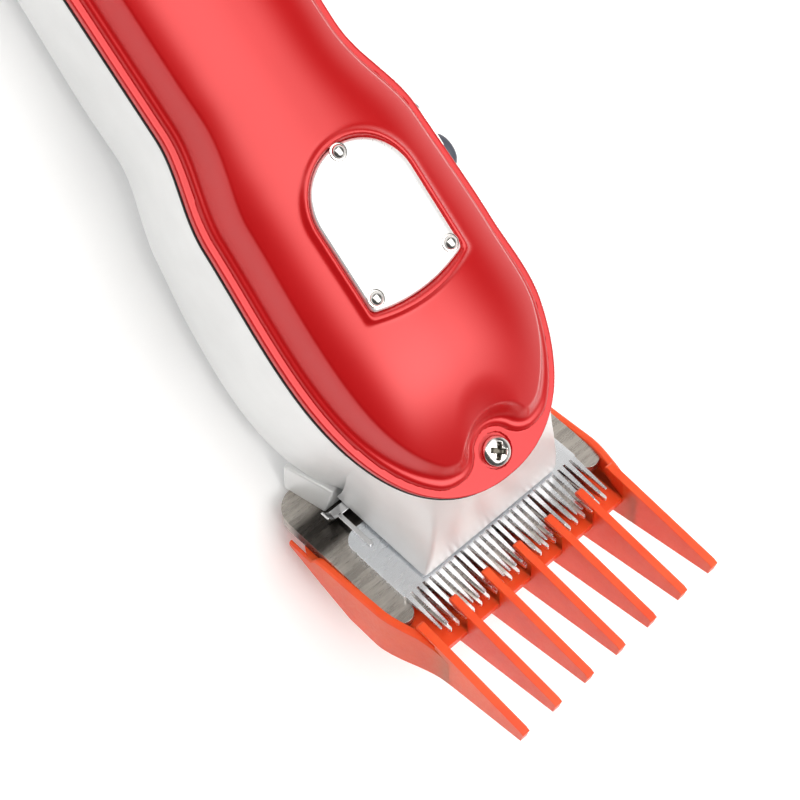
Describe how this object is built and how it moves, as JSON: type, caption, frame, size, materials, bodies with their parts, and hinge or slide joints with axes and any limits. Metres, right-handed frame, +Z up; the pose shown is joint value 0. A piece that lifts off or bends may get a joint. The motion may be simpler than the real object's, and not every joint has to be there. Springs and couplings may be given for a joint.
{
  "type": "hair clipper",
  "caption": "Mains hair clipper with a domed red cover, bright alloy housing, angled steel blade set, side taper lever and switch, and a slide-on guide comb.",
  "frame": {"origin": "centre of the bounding box in plan, on the surface that the clipper lies on", "axes": "-Y towards the blades and the guide comb, +Y along the clipper towards its tail, +X towards the side with the switch and the taper lever, +Z up out of the domed cover"},
  "size_m": [0.0512, 0.1832, 0.0487],
  "materials": {
    "cover_enamel": "glossy metallic red enamel",
    "housing_alloy": "polished die-cast alloy",
    "badge_metal": "bright polished plate",
    "chrome_hardware": "polished chrome",
    "blade_steel": "ground steel",
    "spring_steel": "bright drawn wire",
    "lamination_steel": "oiled lamination stack",
    "copper_winding": "enamelled copper wire",
    "nylon": "natural nylon",
    "comb_plastic": "translucent orange-red plastic",
    "switch_plastic": "dark grey plastic",
    "black_plastic": "black moulded plastic",
    "gland_rubber": "black rubber",
    "wire_sheath": "insulated lead wire",
    "brass_hardware": "plain brass"
  },
  "bodies": {
    "housing": {"lower_housing": "housing_alloy", "top_cover": "cover_enamel", "badge_plate": "badge_metal", "badge_rivets": "chrome_hardware", "cover_front_screw": "chrome_hardware", "cover_rear_screw": "chrome_hardware", "cord_gland": "gland_rubber", "cord_clamp": "nylon", "clamp_screws": "chrome_hardware", "hanging_loop": "chrome_hardware", "switch_bezel": "chrome_hardware", "switch_body": "black_plastic", "spring_cup": "brass_hardware", "armature_spring_left": "spring_steel", "armature_spring_right": "spring_steel", "stator_core": "lamination_steel", "coil_bobbin": "nylon", "coil_winding": "copper_winding", "stator_screws": "chrome_hardware", "flexure_plate": "spring_steel", "flexure_clamp": "blade_steel", "fixed_blade": "blade_steel", "blade_screws": "chrome_hardware", "terminal_block": "nylon", "terminal_screws": "brass_hardware", "lead_wires": "wire_sheath"},
    "switch": {"switch_slider": "switch_plastic"},
    "power_adjuster": {"power_screw": "chrome_hardware"},
    "armature": {"armature_arm": "blade_steel", "armature_pole": "lamination_steel", "drive_finger": "nylon"},
    "lever": {"taper_lever": "chrome_hardware", "lever_shaft": "chrome_hardware", "lever_screw": "chrome_hardware", "lever_washer": "brass_hardware"},
    "follower": {"cam_follower": "nylon", "tension_spring": "spring_steel"},
    "cutter": {"cutter_blade": "blade_steel"},
    "comb": {"guide_comb": "comb_plastic"}
  },
  "joints": [
    {"name": "switch_slide", "type": "slide", "parent": "housing", "child": "switch", "axis": [0, 0.9907, -0.1357], "range_m": [0, 0.004]},
    {"name": "power_screw_turn", "type": "hinge", "parent": "housing", "child": "power_adjuster", "pos_m": [0.0204, -0.03589, 0.02376], "axis": [1, 0, 0], "range_deg": [-180, 180]},
    {"name": "armature_swing", "type": "hinge", "parent": "housing", "child": "armature", "pos_m": [0, 0.01959, 0.01616], "axis": [0, 0.1357, 0.9907], "range_deg": [-0.87, 0.87], "stiffness_Nm_per_rad": 5, "deforming": ["armature_spring_left", "armature_spring_right", "flexure_plate"]},
    {"name": "lever_turn", "type": "hinge", "parent": "housing", "child": "lever", "pos_m": [0.02, -0.05319, 0.01585], "axis": [1, 0, 0], "range_deg": [-30, 30]},
    {"name": "follower_slide", "type": "slide", "parent": "housing", "child": "follower", "axis": [0, -0.6455, 0.7638], "range_m": [-0.00065, 0.00065]},
    {"name": "cutter_stroke", "type": "slide", "parent": "follower", "child": "cutter", "axis": [1, 0, 0], "range_m": [-0.00128, 0.00128]},
    {"name": "comb_slide", "type": "slide", "parent": "housing", "child": "comb", "axis": [0, -0.6455, 0.7638], "range_m": [0, 0.045]}
  ],
  "couplings": [
    {"joint": "follower_slide", "follows": "lever_turn", "m_per_rad": 0.0012},
    {"joint": "cutter_stroke", "follows": "armature_swing", "m_per_rad": 0.08213}
  ]
}
